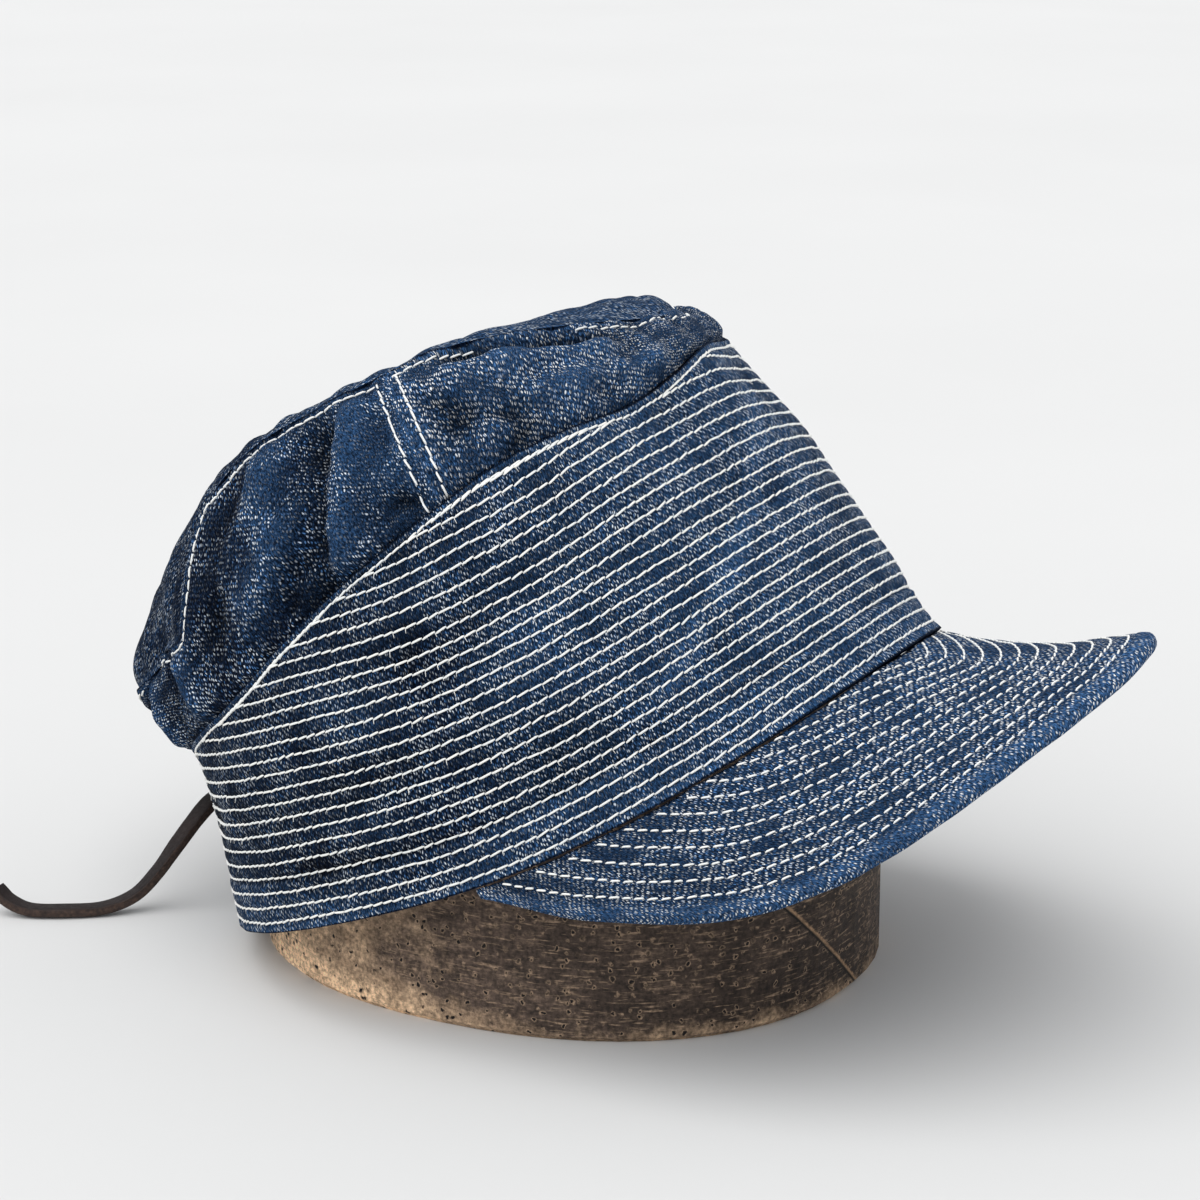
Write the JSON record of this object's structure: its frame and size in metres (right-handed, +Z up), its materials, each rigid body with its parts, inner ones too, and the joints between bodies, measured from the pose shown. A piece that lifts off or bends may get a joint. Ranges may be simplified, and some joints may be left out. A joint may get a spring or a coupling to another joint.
{
  "type": "sailor cap on a wooden hat block",
  "caption": "Soft denim sailor cap with a tall row-stitched band, a low gathered crown, a curved stitched visor and a leather lace at the back, tilted on a plain worn wooden hat block.",
  "frame": {"origin": "the middle of the hat block's flat base", "axes": "+Z up from the flat base, -Y towards the visor's tip, +Y towards the back of the cap, X across the cap"},
  "size_m": [0.178, 0.2974, 0.1687],
  "materials": {
    "row_stitched_denim": "dark indigo denim with close rows of cream stitching",
    "front_denim": "dark indigo denim",
    "back_denim": "dark indigo denim, gathered",
    "tip_denim": "dark indigo denim",
    "visor_denim": "indigo denim with concentric cream stitching",
    "dark_leather": "matt dark brown leather",
    "worn_wood": "dark worn wood with pores and scratches"
  },
  "bodies": {
    "root": {"band": "row_stitched_denim", "crown_side_front": "front_denim", "crown_side_back": "back_denim", "crown_tip": "tip_denim", "visor": "visor_denim", "back_lace": "dark_leather", "hat_block": "worn_wood"}
  },
  "joints": []
}
